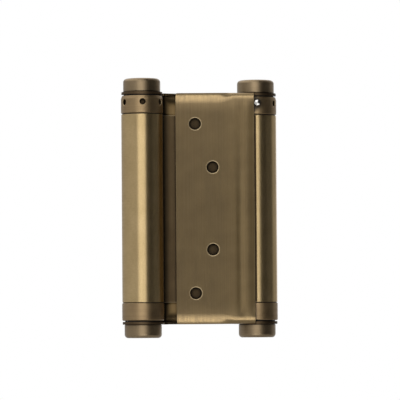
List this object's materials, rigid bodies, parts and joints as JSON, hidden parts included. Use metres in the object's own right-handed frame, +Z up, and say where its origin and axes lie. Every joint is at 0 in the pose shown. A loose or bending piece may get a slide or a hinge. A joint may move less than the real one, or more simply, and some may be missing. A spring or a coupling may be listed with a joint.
{
  "type": "double action spring hinge",
  "caption": "Double action spring hinge: two screw-on leaves with spring barrels joined by an S-rolled centre web, so a door swings both ways and closes itself; antique brass finish.",
  "frame": {"origin": "centre of the closed hinge: half way between the two barrel axes, at mid height, in the middle plane of the centre web", "axes": "+Z up the barrels, +X from the jamb barrel to the door barrel, +Y out of the jamb leaf's outer face towards the jamb"},
  "size_m": [0.0672, 0.0346, 0.1116],
  "materials": {
    "barrel_brass": "antique brass, drawn along the barrel",
    "leaf_brass": "antique brass, brushed upright",
    "cap_brass": "antique brass, satin turned",
    "collar_brass": "antique brass, satin turned",
    "washer_nylon": "black nylon",
    "spindle_steel": "ground steel",
    "pin_steel": "bright steel",
    "spring_steel": "oiled spring wire"
  },
  "bodies": {
    "jamb_side": {"jamb_leaf": "leaf_brass", "jamb_spindle": "spindle_steel", "jamb_top_cap": "cap_brass", "jamb_bottom_cap": "cap_brass", "jamb_top_washer": "washer_nylon", "jamb_bottom_washer": "washer_nylon"},
    "web": {"centre_web": "barrel_brass", "jamb_anchor_collar": "collar_brass", "door_anchor_collar": "collar_brass", "jamb_spring": "spring_steel", "door_spring": "spring_steel"},
    "door_side": {"door_leaf": "leaf_brass", "door_spindle": "spindle_steel", "door_top_cap": "cap_brass", "door_bottom_cap": "cap_brass", "door_top_washer": "washer_nylon", "door_bottom_washer": "washer_nylon"},
    "jamb_tensioner": {"jamb_tension_collar": "collar_brass", "jamb_tension_pin": "pin_steel"},
    "door_tensioner": {"door_tension_collar": "collar_brass", "door_tension_pin": "pin_steel"}
  },
  "joints": [
    {"name": "jamb_swing", "type": "hinge", "parent": "jamb_side", "child": "web", "pos_m": [-0.0246, -0.0083, 0], "axis": [0, 0, -1], "range_deg": [0, 180], "stiffness_Nm_per_rad": 0.22, "springref_deg": -120.32, "deforming": ["jamb_spring"]},
    {"name": "door_swing", "type": "hinge", "parent": "web", "child": "door_side", "pos_m": [0.0246, 0.0083, 0], "axis": [0, 0, 1], "range_deg": [0, 180], "stiffness_Nm_per_rad": 0.22, "springref_deg": -120.32, "deforming": ["door_spring"]},
    {"name": "jamb_tension", "type": "hinge", "parent": "jamb_side", "child": "jamb_tensioner", "pos_m": [-0.0246, -0.0083, 0], "axis": [0, 0, 1], "range_deg": [0, 300], "stiffness_Nm_per_rad": 0.22, "springref_deg": -120.32, "deforming": ["jamb_spring"]},
    {"name": "door_tension", "type": "hinge", "parent": "door_side", "child": "door_tensioner", "pos_m": [0.0246, 0.0083, 0], "axis": [0, 0, 1], "range_deg": [0, 300], "stiffness_Nm_per_rad": 0.22, "springref_deg": -120.32, "deforming": ["door_spring"]}
  ]
}
